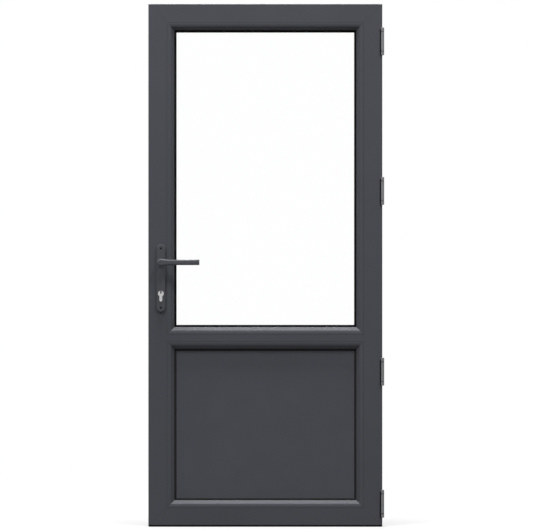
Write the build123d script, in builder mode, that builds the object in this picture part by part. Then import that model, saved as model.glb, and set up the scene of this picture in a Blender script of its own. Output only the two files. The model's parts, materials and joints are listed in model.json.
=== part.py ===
from build123d import *
import math
import os

os.makedirs("parts", exist_ok=True)

# Frame of the part: X to the right, Y away from the viewer, Z up
# The origin is the middle of the threshold's underside, and the leaf opens towards -Y

# Leaf
leaf_width = 895.0
door_height = 2000.0
floor_gap = 2.0
leaf_depth = 70.0
flange_reach = 20.0
flange_depth = 20.0
edge_radius = 2.5
back_chamfer = 2.0
flat_width = 71.0
profile_wall = 3.0
main_overlap = 7.0

# Transom
transom_height = 722.5
transom_flat = 27.0

# Beads, gaskets and what they hold
bead_width = 28.0
bead_depth = 18.0
bead_crown = 15.0
bead_brow = 5.0
bead_turn = 15.5
bead_turn_depth = 2.4
bead_shelf = 10.0
bead_shelf_depth = 12.0
bead_chamber_wall = 2.5
bead_chamber_inset = 8.5
bead_chamber_height = 5.5
bead_seam = 0.6
clip_reach = 1.4
clip_height = 3.0
clip_depth = 7.0
gasket_lip = 8.0
gasket_depth = 3.0
gasket_seat = 9.0
gasket_chamfer = 2.0
unit_depth = 24.0
glass_thickness = 4.0
glass_clearance = 5.0
spacer_width = 7.0
spacer_setback = 1.5
spacer_wall = 1.0
upstand_bevel = 6.0
packer_length = 100.0
packer_inset = 90.0

# Steel inside the leaf
steel_wall = 2.0
steel_fit = 0.3
steel_end_gap = 5.0

# Frame and threshold
frame_depth = 70.0
frame_inset = 3.0
frame_sheet = 2.0
frame_bend = 1.0
lip_reach = 11.0
stop_reach = 26.5
seal_gap = 3.5
stop_gap = 3.0
seal_relief = 0.3
overlap_seal_inset = 7.0
overlap_seal_width = 6.0
stop_seal_inset = 22.0
stop_seal_width = 5.0
sweep_lip = 1.2
sweep_rise = 4.5
sweep_depth = 12.0
sweep_inset = 3.0
sweep_floor_gap = 0.6
threshold_base = 16.0
threshold_stop = 35.0
threshold_slope = 15.0
threshold_wall = 2.5
fixing_radius = 3.75
fixing_margin = 220.0
fixing_inner_shares = (0.4, 0.6)
fixing_depth_share = 5 / 8
seal_chamfer_share = 1 / 3

# Handle and lock, places taken from the leaf's lock edge and floor
handle_inset = 48.2
handle_height = 1011.6
cylinder_drop = 119.6
plate_length = 258.0
plate_width = 33.0
plate_thickness = 9.0
plate_rise = 60.3
plate_edge = 2.5
plate_screw_spacing = 227.0
screw_radius = 2.5
screw_head_radius = 4.0
screw_head_sink = 1.5
screw_fit = 0.3
socket_share = 2 / 3
lever_length = 145.0
lever_height = 21.0
lever_hub_radius = 14.0
lever_blend = 30.0
lever_blend_strip = 1.0
lever_thickness = 13.0
lever_edge = 6.3
lever_stand = 50.0
neck_radius = 9.5
neck_seat = 6.0
neck_fit = 0.3
spindle_size = 8.0
spindle_fit = 0.05
spindle_end_gap = 4.0

lock_setback = 36.0
faceplate_width = 24.0
faceplate_thickness = 2.0
faceplate_overhang = 20.0
case_back_gap = 1.0
case_thickness = 16.0
case_wall = 1.5
case_margin = 7.0
case_fit = 0.3
slide_fit = 0.2
follower_radius = 11.0
journal_radius = 8.0
journal_fit = 0.08
arm_radius = 21.0
arm_width = 6.0
arm_thickness = 5.0
arm_gap = 2.2
arm_side_gap = 0.7
latch_rise = 20.0
latch_height = 14.0
latch_thickness = 11.0
latch_reach = 11.0
latch_travel = 11.5
latch_nose = 3.0
latch_lug = 4.0
dead_bolt_drop = 66.6
dead_bolt_height = 30.0
dead_bolt_length = 40.0
dead_bolt_throw = 11.5
dead_bolt_setback = 0.4
dead_bolt_notch = 10.0
notch_share = 2 / 3
bolt_edge = 1.5

cylinder_head_radius = 11.0
cylinder_tail_width = 11.0
cylinder_height = 41.0
cylinder_proud = 3.0
cylinder_fit = 0.3
plug_radius = 7.5
plug_fit = 0.05
cam_radius = 15.0
cam_width = 9.0
cam_gap = 0.5
cam_nose_width = 7.0
keyway_width = 3.0
keyway_height = 8.5
keyway_depth = 26.0
cylinder_screw_grip = 5.0

keep_thickness = 11.0
keep_width = 19.0
keep_margin = 8.0
keep_tip_gap = 1.4
keep_edge = 1.5
keep_play = 0.6
keep_screw_spacing = 36.0

# Hinges: the outer two keep their distance from the leaf's ends, the inner two a share of its height
hinge_top_drop = 143.0
hinge_bottom_rise = 89.0
hinge_inner_shares = (0.6425, 0.297)
knuckle_radius = 6.0
leaf_knuckle = 76.0
frame_knuckle = 11.0
knuckle_gap = 0.4
hinge_cap = 4.0
cap_chamfer = 1.5
cap_socket = 2.0
pin_radius = 3.0
bush_wall = 1.0
pin_fit = 0.05
press_fit = 0.02
hinge_out = 1.0
hinge_gap = 0.5
hinge_plate = 3.0
strap_clearance = 0.7
strap_back_gap = 1.0
strap_depth = 44.0
plate_back_gap = 1.0
hinge_screw_radius = 2.4
hinge_screw_head = 4.4
hinge_screw_length = 34.0
hinge_screw_spacing = 26.0

overrun = 1.0

# Places worked out from the sizes
face_y = -(frame_depth / 2 + seal_gap + flange_depth)
back_y = face_y + leaf_depth
mid_y = face_y + leaf_depth / 2
leaf_box = (-leaf_width / 2, leaf_width / 2, floor_gap, door_height)
rebate_floor = flat_width + bead_shelf
upstand_reach = flat_width + bead_width
upstand_front = bead_depth + 2 * gasket_depth + unit_depth
unit_front = bead_depth + gasket_depth
main_front = bead_shelf_depth + profile_wall
main_back = upstand_front + main_overlap
main_outer = flange_reach + profile_wall
main_inner = rebate_floor - profile_wall
transom_half = transom_flat / 2
pane_seam = (
    leaf_box[0] + flat_width,
    leaf_box[1] - flat_width,
    transom_height + transom_half,
    leaf_box[3] - flat_width,
)
panel_seam = (
    leaf_box[0] + flat_width,
    leaf_box[1] - flat_width,
    leaf_box[2] + flat_width,
    transom_height - transom_half,
)
frame_edge = leaf_width / 2 - frame_inset
frame_front = face_y + flange_depth + seal_gap
stop_front = back_y + stop_gap

handle_x = leaf_box[0] + handle_inset
cylinder_z = handle_height - cylinder_drop
cylinder_low = cylinder_z + cylinder_head_radius - cylinder_height
plate_z = handle_height - plate_rise
plate_screw_heights = (plate_z + plate_screw_spacing / 2, plate_z - plate_screw_spacing / 2)
lock_y = face_y + lock_setback
lock_edge = leaf_box[0] + flange_reach
case_front = lock_edge + faceplate_thickness
latch_z = handle_height + latch_rise
dead_bolt_z = handle_height - dead_bolt_drop
case_low = cylinder_low - case_margin
case_high = latch_z + latch_height / 2 + case_margin
arm_face = handle_x + arm_width / 2
lug_face = arm_face + arm_gap
latch_end = lug_face + latch_lug
case_depth = latch_end + latch_travel + case_back_gap + case_wall - case_front
dead_bolt_tip = lock_edge + dead_bolt_setback

hinge_x = leaf_box[1] + hinge_out
hinge_reach = edge_radius + knuckle_radius + hinge_gap
hinge_forward = math.sqrt(hinge_reach**2 - (edge_radius + hinge_out) ** 2) - edge_radius
hinge_y = face_y - hinge_forward
knuckle_offset = leaf_knuckle / 2 + knuckle_gap + frame_knuckle / 2
hinge_inner = [door_height * share for share in hinge_inner_shares]
hinge_heights = [door_height - hinge_top_drop, *hinge_inner, hinge_bottom_rise]

right_way = Vector(1, 0, 0)
back_way = Vector(0, 1, 0)
up_way = Vector(0, 0, 1)


def save(piece, name):
    """Label a finished piece and write it to its own file."""
    piece.part.label = name
    export_step(piece.part, f"parts/{name}.step")


def upright(y):
    """A plane facing the viewer, with sketches drawn in X and Z."""
    return Plane(origin=(0, y, 0), x_dir=right_way, z_dir=-back_way)


def sideways(x):
    """A plane facing right, with sketches drawn in Y and Z."""
    return Plane(origin=(x, 0, 0), x_dir=back_way, z_dir=right_way)


def inset(box, amount):
    """A rectangle (left, right, low, high) moved inwards on all four sides."""
    return (box[0] + amount, box[1] - amount, box[2] + amount, box[3] - amount)


def box_sides(box):
    """A plane and half length per side; sketch X runs inwards from the edge, sketch Y runs back."""
    left, right, low, high = box
    mid_x, mid_z = (left + right) / 2, (low + high) / 2
    tall, wide = (high - low) / 2, (right - left) / 2
    return {
        "left": (Plane((left, face_y, mid_z), x_dir=right_way, z_dir=up_way), tall),
        "right": (Plane((right, face_y, mid_z), x_dir=-right_way, z_dir=-up_way), tall),
        "top": (Plane((mid_x, face_y, high), x_dir=-up_way, z_dir=right_way), wide),
        "bottom": (Plane((mid_x, face_y, low), x_dir=up_way, z_dir=-right_way), wide),
    }


def block(x0, x1, y0, y1):
    """A rectangle between two corners, cut from or joined to the sketch in hand."""
    with Locations(((x0 + x1) / 2, (y0 + y1) / 2)):
        return Rectangle(x1 - x0, y1 - y0)


def chamber(x0, x1, y0, y1):
    """A hollow between two corners of the section in hand."""
    with Locations(((x0 + x1) / 2, (y0 + y1) / 2)):
        return Rectangle(x1 - x0, y1 - y0, mode=Mode.SUBTRACT)


def mitred_bar(section, side, reach=0.0, ends=(1, -1)):
    """A length of section along one side of a rectangle, cut at 45 degrees through its corners."""
    plane, half = side
    with BuildPart() as bar:
        with BuildSketch(plane):
            add(section)
        extrude(amount=half + reach, both=True)
        for end in ends:
            corner = plane.origin + plane.z_dir * (end * half)
            split(bisect_by=Plane(corner, z_dir=plane.x_dir + plane.z_dir * end), keep=Keep.BOTTOM)
    return bar.part


def ring(box, outer, inner, front, back):
    """A rectangular band between two insets, from one depth behind the face to another."""
    with BuildPart() as band:
        with BuildSketch(upright(face_y + front)):
            block(*inset(box, outer))
            chamber(*inset(box, inner))
        extrude(amount=front - back)
    return band.part


def sheet(box, front, back):
    """A flat rectangular sheet from one depth behind the face to another."""
    with BuildPart() as plate:
        with BuildSketch(upright(face_y + front)):
            block(*box)
        extrude(amount=front - back)
    return plate.part


def keyhole(clearance=0.0, mode=Mode.ADD):
    """The cylinder's profile: a round head with a narrower rounded tail below it."""
    tail = cylinder_tail_width / 2 + clearance
    tail_z = cylinder_low + cylinder_tail_width / 2
    with Locations((handle_x, cylinder_z)):
        Circle(cylinder_head_radius + clearance, mode=mode)
    with Locations((handle_x, (cylinder_z + tail_z) / 2)):
        Rectangle(2 * tail, cylinder_z - tail_z, mode=mode)
    with Locations((handle_x, tail_z)):
        Circle(tail, mode=mode)


# Leaf section: X is the distance inwards from the leaf's edge, Y the depth behind its face
with BuildSketch() as leaf_outline:
    with BuildLine():
        Polyline(
            (0, 0),
            (flat_width, 0),
            (flat_width, bead_shelf_depth),
            (rebate_floor, bead_shelf_depth),
            (rebate_floor, upstand_front),
            (upstand_reach, upstand_front),
            (upstand_reach, leaf_depth - upstand_bevel),
            (upstand_reach - upstand_bevel, leaf_depth),
            (flange_reach, leaf_depth),
            (flange_reach, flange_depth),
            (0, flange_depth),
            close=True,
        )
    make_face()
    fillet(leaf_outline.vertices().sort_by_distance((0, 0))[0], edge_radius)
    chamfer(leaf_outline.vertices().sort_by_distance((flange_reach, leaf_depth))[0], back_chamfer)

with BuildSketch() as leaf_section:
    add(leaf_outline.sketch)
    chamber(profile_wall, flange_reach - profile_wall, profile_wall, flange_depth - profile_wall)
    chamber(main_outer, flat_width - 2 * profile_wall, profile_wall, bead_shelf_depth - profile_wall)
    chamber(main_outer, main_inner, main_front, main_back)
    chamber(
        main_outer, upstand_reach - upstand_bevel, main_back + profile_wall, leaf_depth - profile_wall
    )
    chamber(flat_width - clip_reach, flat_width, clip_depth, clip_depth + clip_height)

# Transom section: X is the distance up from its middle, Y the depth behind the face
shelf_half = transom_half + bead_shelf
upstand_half = transom_half + bead_width
with BuildSketch() as transom_section:
    with BuildLine():
        right_line = Polyline(
            (0, 0),
            (transom_half, 0),
            (transom_half, bead_shelf_depth),
            (shelf_half, bead_shelf_depth),
            (shelf_half, upstand_front),
            (upstand_half, upstand_front),
            (upstand_half, leaf_depth - upstand_bevel),
            (upstand_half - upstand_bevel, leaf_depth),
            (0, leaf_depth),
        )
        mirror(right_line, about=Plane.YZ)
    make_face()
    front_half = transom_half - 2 * profile_wall
    main_half = shelf_half - profile_wall
    back_half = upstand_half - upstand_bevel
    chamber(-front_half, front_half, profile_wall, bead_shelf_depth - profile_wall)
    chamber(-main_half, main_half, main_front, main_back)
    chamber(-back_half, back_half, main_back + profile_wall, leaf_depth - profile_wall)
    for way in (1, -1):
        with Locations((way * (transom_half - clip_reach / 2), clip_depth + clip_height / 2)):
            Rectangle(clip_reach, clip_height, mode=Mode.SUBTRACT)

# Bead section: X is the distance inwards from the seam, Y the depth behind the face
with BuildSketch() as bead_section:
    with BuildLine():
        TangentArc((bead_brow, 0), (bead_turn, bead_turn_depth), tangent=(1, 0))
        Polyline(
            (bead_turn, bead_turn_depth),
            (bead_width, bead_crown),
            (bead_width, bead_depth),
            (bead_shelf, bead_depth),
            (bead_shelf, bead_shelf_depth),
            (bead_seam, bead_shelf_depth),
            (bead_seam, 0),
            (bead_brow, 0),
        )
    make_face()
    block(bead_seam - clip_reach, bead_seam, clip_depth + bead_seam, clip_depth + clip_height - bead_seam)
    chamber(
        bead_shelf + bead_chamber_wall,
        bead_width - bead_chamber_inset,
        bead_depth - bead_chamber_wall - bead_chamber_height,
        bead_depth - bead_chamber_wall,
    )

# Folded steel section of the frame, X and Y as for the leaf
lip_front = frame_front - face_y
stop_face = stop_front - face_y
frame_back = lip_front + frame_depth
sheet_mid = frame_sheet / 2
with BuildSketch() as frame_section:
    with BuildLine():
        fold = FilletPolyline(
            (frame_inset + lip_reach, lip_front + sheet_mid),
            (frame_inset + sheet_mid, lip_front + sheet_mid),
            (frame_inset + sheet_mid, stop_face + sheet_mid),
            (frame_inset + stop_reach - sheet_mid, stop_face + sheet_mid),
            (frame_inset + stop_reach - sheet_mid, frame_back),
            radius=frame_bend + sheet_mid,
        )
    trace(fold, frame_sheet)

# Threshold section drawn in Y and Z
with BuildSketch() as threshold_outline:
    with BuildLine():
        Polyline(
            (frame_front, 0),
            (frame_front + frame_depth, 0),
            (frame_front + frame_depth, threshold_stop - threshold_slope),
            (stop_front + threshold_slope / 2, threshold_stop),
            (stop_front, threshold_stop),
            (stop_front, threshold_base),
            (frame_front, threshold_base),
            close=True,
        )
    make_face()

with BuildSketch() as threshold_section:
    add(threshold_outline.sketch)
    base_low, base_high = threshold_wall, threshold_base - threshold_wall
    web_y = (frame_front + stop_front) / 2
    chamber(frame_front + threshold_wall, web_y - threshold_wall / 2, base_low, base_high)
    chamber(web_y + threshold_wall / 2, stop_front, base_low, base_high)
    chamber(
        stop_front + threshold_wall,
        frame_front + frame_depth - threshold_wall,
        base_low,
        threshold_stop - threshold_slope - threshold_wall,
    )

leaf_sides = box_sides(leaf_box)

# Frame members
with BuildPart() as threshold_envelope:
    with BuildSketch(sideways(-frame_edge)):
        add(threshold_outline.sketch)
    extrude(amount=2 * frame_edge)

with BuildPart() as threshold:
    with BuildSketch(sideways(-frame_edge)):
        add(threshold_section.sketch)
    extrude(amount=2 * frame_edge)
save(threshold, "threshold")

with BuildPart() as frame_head:
    add(mitred_bar(frame_section.sketch, leaf_sides["top"]))
save(frame_head, "frame_head")

fixing_y = frame_front + (stop_front - frame_front) * fixing_depth_share
inner_fixings = [door_height * share for share in fixing_inner_shares]
fixing_heights = [fixing_margin, *inner_fixings, door_height - fixing_margin]
keep_low = dead_bolt_z - dead_bolt_height / 2 - keep_margin
keep_high = latch_z + latch_height / 2 + keep_margin
keep_screw_mid = (latch_z - latch_height / 2 + dead_bolt_z + dead_bolt_height / 2) / 2
keep_screw_heights = (keep_screw_mid - keep_screw_spacing / 2, keep_screw_mid + keep_screw_spacing / 2)

for name, side, end in (("lock", "left", 1), ("hinge", "right", -1)):
    bar = mitred_bar(frame_section.sketch, leaf_sides[side], reach=floor_gap, ends=(end,))
    edge_x = -frame_edge if side == "left" else frame_edge - frame_sheet
    with BuildPart() as jamb:
        add(bar)
        add(threshold_envelope.part, mode=Mode.SUBTRACT)
        with BuildSketch(sideways(edge_x - overrun)):
            with Locations(*((fixing_y, z) for z in fixing_heights)):
                Circle(fixing_radius)
            if side == "left":
                with Locations(*((lock_y, z) for z in keep_screw_heights)):
                    Circle(screw_radius + screw_fit)
        extrude(amount=frame_sheet + 2 * overrun, mode=Mode.SUBTRACT)
    save(jamb, f"frame_{name}_jamb")

with BuildPart() as stop_seal:
    add(
        ring(
            leaf_box,
            stop_seal_inset,
            stop_seal_inset + stop_seal_width,
            leaf_depth + seal_relief,
            leaf_depth + stop_gap,
        )
    )
    inner_edges = stop_seal.faces().sort_by(Axis.Y)[0].edges()
    chamfer(inner_edges, stop_gap * seal_chamfer_share)
save(stop_seal, "frame_stop_seal")

# Lock keep on the lock jamb
keep_x = -frame_edge + frame_sheet
keep_face = keep_x + keep_thickness
keep_screw_planes = [Plane((keep_face, lock_y, z), z_dir=right_way) for z in keep_screw_heights]
head_hole = screw_head_radius + screw_fit
with BuildPart() as lock_keep:
    with BuildSketch(sideways(keep_x)):
        block(lock_y - keep_width / 2, lock_y + keep_width / 2, keep_low, keep_high)
    extrude(amount=keep_thickness)
    fillet(lock_keep.edges().filter_by(Axis.X), keep_edge)
    with BuildSketch(sideways(dead_bolt_tip - dead_bolt_throw - keep_tip_gap)):
        with Locations((lock_y, latch_z)):
            Rectangle(latch_thickness + 2 * keep_play, latch_height + 2 * keep_play)
        with Locations((lock_y, dead_bolt_z)):
            Rectangle(latch_thickness + 2 * keep_play, dead_bolt_height + 2 * keep_play)
    extrude(amount=keep_thickness, mode=Mode.SUBTRACT)
    with Locations(*keep_screw_planes):
        CounterSinkHole(screw_radius + screw_fit, head_hole, keep_thickness + overrun)
save(lock_keep, "lock_keep")


def countersunk_screw(length, shank, head):
    """A flat-headed screw standing on the plane in hand, head at the top, shank downwards."""
    rise = head - shank
    with BuildPart() as screw:
        with BuildSketch(Plane.XZ):
            with BuildLine():
                Polyline((0, 0), (head, 0), (shank, -rise), (shank, -length), (0, -length), close=True)
            make_face()
        revolve(axis=Axis.Z)
        with BuildSketch(Plane.XY):
            RegularPolygon(shank, 6)
        extrude(amount=-rise / 2, mode=Mode.SUBTRACT)
    return screw.part


keep_screw = countersunk_screw(keep_thickness + frame_sheet, screw_radius, screw_head_radius)
with BuildPart() as keep_screws:
    with Locations(*keep_screw_planes):
        add(keep_screw)
save(keep_screws, "keep_screws")

# Leaf members
lock_bar = mitred_bar(leaf_section.sketch, leaf_sides["left"])
faceplate_low = case_low - faceplate_overhang
faceplate_high = case_high + faceplate_overhang
through_start = face_y - plate_thickness - overrun
through_depth = leaf_depth + 2 * plate_thickness + 2 * overrun
case_slot = case_thickness / 2 + case_fit
faceplate_slot = faceplate_width / 2 + case_fit

with BuildPart() as handle_holes:
    with BuildSketch(upright(through_start)):
        with Locations((handle_x, handle_height)):
            Circle(neck_radius + neck_fit)
        with Locations(*((handle_x, z) for z in plate_screw_heights)):
            Circle(screw_radius + screw_fit)
        keyhole(cylinder_fit)
    extrude(amount=-through_depth)

with BuildPart() as lock_stile:
    add(lock_bar)
    with BuildSketch(sideways(lock_edge - overrun)):
        block(lock_y - case_slot, lock_y + case_slot, case_low - case_fit, case_high + case_fit)
    extrude(amount=overrun + faceplate_thickness + case_depth + case_fit, mode=Mode.SUBTRACT)
    with BuildSketch(sideways(lock_edge - overrun)):
        block(
            lock_y - faceplate_slot,
            lock_y + faceplate_slot,
            faceplate_low - case_fit,
            faceplate_high + case_fit,
        )
    extrude(amount=overrun + faceplate_thickness, mode=Mode.SUBTRACT)
    add(handle_holes.part, mode=Mode.SUBTRACT)
    with BuildSketch(sideways(lock_edge)):
        for z in (faceplate_low + faceplate_overhang / 2, faceplate_high - faceplate_overhang / 2):
            with Locations((lock_y, z)):
                Circle(screw_radius + screw_fit)
    extrude(amount=faceplate_thickness + profile_wall, mode=Mode.SUBTRACT)
save(lock_stile, "leaf_lock_stile")

hinge_bar = mitred_bar(leaf_section.sketch, leaf_sides["right"])
plate_front = face_y + edge_radius
plate_back = face_y + flange_depth - plate_back_gap
hinge_screw_y = (plate_front + plate_back) / 2
hinge_screw_heights = [
    z + step * hinge_screw_spacing for z in hinge_heights for step in (1, 0, -1)
]
hinge_screw_places = [(hinge_screw_y, z) for z in hinge_screw_heights]

with BuildPart() as hinge_stile:
    add(hinge_bar)
    with BuildSketch(sideways(leaf_box[1] + overrun)):
        with Locations(*hinge_screw_places):
            Circle(hinge_screw_radius + screw_fit)
    extrude(amount=-(hinge_screw_length - hinge_plate + 2 * overrun), mode=Mode.SUBTRACT)
save(hinge_stile, "leaf_hinge_stile")

for name in ("top", "bottom"):
    with BuildPart() as rail:
        add(mitred_bar(leaf_section.sketch, leaf_sides[name]))
    save(rail, f"leaf_{name}_rail")

with BuildPart() as stile_envelope:
    for side in ("left", "right"):
        add(mitred_bar(leaf_outline.sketch, leaf_sides[side]))

transom_plane = Plane((0, face_y, transom_height), x_dir=-up_way, z_dir=right_way)
with BuildPart() as transom:
    with BuildSketch(transom_plane):
        add(transom_section.sketch)
    extrude(amount=leaf_width / 2 - flat_width, both=True)
    add(stile_envelope.part, mode=Mode.SUBTRACT)
save(transom, "leaf_transom")

# Steel inside the hollow members
steel_outer = main_outer + steel_fit
steel_inner = main_inner - steel_fit
steel_front = main_front + steel_fit
steel_back = main_back - steel_fit
with BuildSketch() as tube_section:
    block(steel_outer, steel_inner, steel_front, steel_back)
    chamber(
        steel_outer + steel_wall,
        steel_inner - steel_wall,
        steel_front + steel_wall,
        steel_back - steel_wall,
    )
with BuildSketch() as channel_section:
    block(steel_outer, steel_inner, steel_front, steel_back)
    chamber(steel_outer, steel_inner - steel_wall, steel_front + steel_wall, steel_back - steel_wall)
stile_steel_half = leaf_sides["left"][1] - rebate_floor - steel_end_gap
rail_steel_half = leaf_sides["top"][1] - rebate_floor - steel_end_gap
transom_steel_half = leaf_sides["top"][1] - upstand_reach - steel_end_gap

with BuildPart() as lock_stile_steel:
    with BuildSketch(leaf_sides["left"][0]):
        add(channel_section.sketch)
    extrude(amount=stile_steel_half, both=True)
    add(handle_holes.part, mode=Mode.SUBTRACT)
save(lock_stile_steel, "lock_stile_steel")

with BuildPart() as hinge_stile_steel:
    with BuildSketch(leaf_sides["right"][0]):
        add(tube_section.sketch)
    extrude(amount=stile_steel_half, both=True)
save(hinge_stile_steel, "hinge_stile_steel")

with BuildPart() as rail_steels:
    for name in ("top", "bottom"):
        with BuildSketch(leaf_sides[name][0]):
            add(tube_section.sketch)
        extrude(amount=rail_steel_half, both=True)
save(rail_steels, "rail_steels")

with BuildPart() as transom_steel:
    with BuildSketch(transom_plane):
        block(-main_half + steel_fit, main_half - steel_fit, steel_front, steel_back)
        chamber(
            -main_half + steel_fit + steel_wall,
            main_half - steel_fit - steel_wall,
            steel_front + steel_wall,
            steel_back - steel_wall,
        )
    extrude(amount=transom_steel_half, both=True)
save(transom_steel, "transom_steel")

# Rubber seal behind the flange, and the sweep round the leaf's lower front edge
with BuildPart() as overlap_seal:
    add(
        ring(
            leaf_box,
            overlap_seal_inset,
            overlap_seal_inset + overlap_seal_width,
            flange_depth,
            flange_depth + seal_gap - seal_relief,
        )
    )
    chamfer(overlap_seal.faces().sort_by(Axis.Y)[-1].edges(), seal_gap * seal_chamfer_share)
    with BuildSketch(sideways(leaf_box[0] + sweep_inset)):
        block(face_y - sweep_lip, face_y, sweep_floor_gap, leaf_box[2] + sweep_rise)
        block(face_y - sweep_lip, face_y + sweep_depth, sweep_floor_gap, leaf_box[2])
    extrude(amount=leaf_width - 2 * sweep_inset)
save(overlap_seal, "leaf_overlap_seal")

# Pane, panel, gaskets and beads
glass_edge = bead_shelf + glass_clearance
pane_box = inset(pane_seam, glass_edge)
panel_box = inset(panel_seam, glass_edge)
unit_back = unit_front + unit_depth

with BuildPart() as front_pane:
    add(sheet(pane_box, unit_front, unit_front + glass_thickness))
save(front_pane, "glass_front_pane")

with BuildPart() as back_pane:
    add(sheet(pane_box, unit_back - glass_thickness, unit_back))
save(back_pane, "glass_back_pane")

spacer_inner = bead_width - spacer_setback
with BuildPart() as spacer:
    spacer_front = unit_front + glass_thickness
    spacer_back = unit_back - glass_thickness
    add(ring(pane_seam, spacer_inner - spacer_width, spacer_inner, spacer_front, spacer_back))
    add(
        ring(
            pane_seam,
            spacer_inner - spacer_width + spacer_wall,
            spacer_inner - spacer_wall,
            spacer_front + spacer_wall,
            spacer_back - spacer_wall,
        ),
        mode=Mode.SUBTRACT,
    )
save(spacer, "glass_spacer")

with BuildPart() as panel:
    add(sheet(panel_box, unit_front, unit_back))
save(panel, "infill_panel")

gasket_outer = bead_width - gasket_seat
gasket_inner = bead_width + gasket_lip
for name, seam in (("glass", pane_seam), ("panel", panel_seam)):
    with BuildPart() as front_gasket:
        add(ring(seam, gasket_outer, gasket_inner, bead_depth, unit_front))
        chamfer(front_gasket.faces().sort_by(Axis.Y)[0].inner_wires()[0].edges(), gasket_chamfer)
    save(front_gasket, f"{name}_front_gasket")
    with BuildPart() as back_gasket:
        add(ring(seam, gasket_outer, gasket_inner, unit_back, upstand_front))
        chamfer(back_gasket.faces().sort_by(Axis.Y)[-1].inner_wires()[0].edges(), gasket_chamfer)
    save(back_gasket, f"{name}_back_gasket")
    for side, place in box_sides(seam).items():
        with BuildPart() as bead:
            add(mitred_bar(bead_section.sketch, place, reach=clip_reach))
        save(bead, f"{name}_{side}_bead")

packer_half = packer_length / 2
with BuildPart() as packers:
    for box in (pane_box, panel_box):
        with BuildSketch(upright(face_y + unit_front)):
            for x in (box[0] + packer_inset, box[1] - packer_inset):
                block(x - packer_half, x + packer_half, box[2] - glass_clearance, box[2])
            low_z, high_z = box[2] + packer_inset, box[3] - packer_inset
            block(box[1], box[1] + glass_clearance, low_z - packer_half, low_z + packer_half)
            block(box[0] - glass_clearance, box[0], high_z - packer_half, high_z + packer_half)
        extrude(amount=-unit_depth)
save(packers, "glazing_packers")

# Lock
with BuildPart() as lock_case:
    with BuildSketch(sideways(case_front)):
        block(lock_y - case_thickness / 2, lock_y + case_thickness / 2, case_low, case_high)
    extrude(amount=case_depth)
    inner_half = case_thickness / 2 - case_wall
    with BuildSketch(sideways(case_front + case_wall)):
        block(lock_y - inner_half, lock_y + inner_half, case_low + case_wall, case_high - case_wall)
    extrude(amount=case_depth - 2 * case_wall, mode=Mode.SUBTRACT)
    with BuildSketch(upright(lock_y - case_thickness)):
        with Locations((handle_x, handle_height)):
            Circle(journal_radius + journal_fit)
        keyhole(cylinder_fit)
    extrude(amount=-2 * case_thickness, mode=Mode.SUBTRACT)
    with BuildSketch(sideways(case_front - overrun)):
        with Locations((lock_y, latch_z)):
            Rectangle(latch_thickness + 2 * slide_fit, latch_height + 2 * slide_fit)
        with Locations((lock_y, dead_bolt_z)):
            Rectangle(latch_thickness + 2 * slide_fit, dead_bolt_height + 2 * slide_fit)
        with Locations((lock_y, cylinder_low + cylinder_tail_width / 2)):
            Circle(screw_radius + screw_fit)
    extrude(amount=case_wall + 2 * overrun, mode=Mode.SUBTRACT)
save(lock_case, "lock_case")

faceplate_screws = (faceplate_low + faceplate_overhang / 2, faceplate_high - faceplate_overhang / 2)
cylinder_screw_z = cylinder_low + cylinder_tail_width / 2
with BuildPart() as faceplate:
    with BuildSketch(sideways(lock_edge)):
        block(lock_y - faceplate_width / 2, lock_y + faceplate_width / 2, faceplate_low, faceplate_high)
        with Locations((lock_y, latch_z)):
            Rectangle(latch_thickness + 2 * slide_fit, latch_height + 2 * slide_fit, mode=Mode.SUBTRACT)
        with Locations((lock_y, dead_bolt_z)):
            Rectangle(latch_thickness + 2 * slide_fit, dead_bolt_height + 2 * slide_fit, mode=Mode.SUBTRACT)
    extrude(amount=faceplate_thickness)
    for z in faceplate_screws + (cylinder_screw_z,):
        with Locations(Plane((lock_edge, lock_y, z), z_dir=-right_way)):
            CounterSinkHole(screw_radius + screw_fit, head_hole, faceplate_thickness + overrun)
save(faceplate, "lock_faceplate")

cylinder_screw_length = handle_inset - flange_reach - cylinder_tail_width / 2 + cylinder_screw_grip
short_screw = countersunk_screw(case_depth / 2, screw_radius, screw_head_radius)
long_screw = countersunk_screw(cylinder_screw_length, screw_radius, screw_head_radius)
with BuildPart() as lock_screws:
    with Locations(*(Plane((lock_edge, lock_y, z), z_dir=-right_way) for z in faceplate_screws)):
        add(short_screw)
    with Locations(Plane((lock_edge, lock_y, cylinder_screw_z), z_dir=-right_way)):
        add(long_screw)
save(lock_screws, "lock_screws")

latch_half = latch_thickness / 2
latch_tip = lock_edge - latch_reach
latch_shoulder = handle_x - arm_width / 2 - arm_gap - arm_width / 2
slot_half = arm_thickness / 2 + arm_side_gap
with BuildPart() as latch_bolt:
    with BuildSketch(Plane.XY.offset(latch_z - latch_height / 2)):
        with BuildLine():
            Polyline(
                (latch_tip, lock_y - latch_half),
                (latch_tip, lock_y - latch_half + latch_nose),
                (lock_edge, lock_y + latch_half),
                (latch_end, lock_y + latch_half),
                (latch_end, lock_y - latch_half),
                close=True,
            )
        make_face()
        chamber(latch_shoulder, lug_face, lock_y - slot_half, lock_y + slot_half)
    extrude(amount=latch_height)
save(latch_bolt, "latch_bolt")

dead_bolt_low = dead_bolt_z - dead_bolt_height / 2
with BuildPart() as dead_bolt:
    with BuildSketch(upright(lock_y - latch_half)):
        dead_bolt_end = dead_bolt_tip + dead_bolt_length
        block(dead_bolt_tip, dead_bolt_end, dead_bolt_low, dead_bolt_low + dead_bolt_height)
        notch_x = dead_bolt_tip + dead_bolt_length * notch_share
        chamber(
            notch_x - dead_bolt_notch / 2,
            notch_x + dead_bolt_notch / 2,
            dead_bolt_low,
            dead_bolt_low + dead_bolt_notch,
        )
    extrude(amount=-latch_thickness)
    fillet(dead_bolt.faces().sort_by(Axis.X)[0].edges(), bolt_edge)
save(dead_bolt, "dead_bolt")

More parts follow.
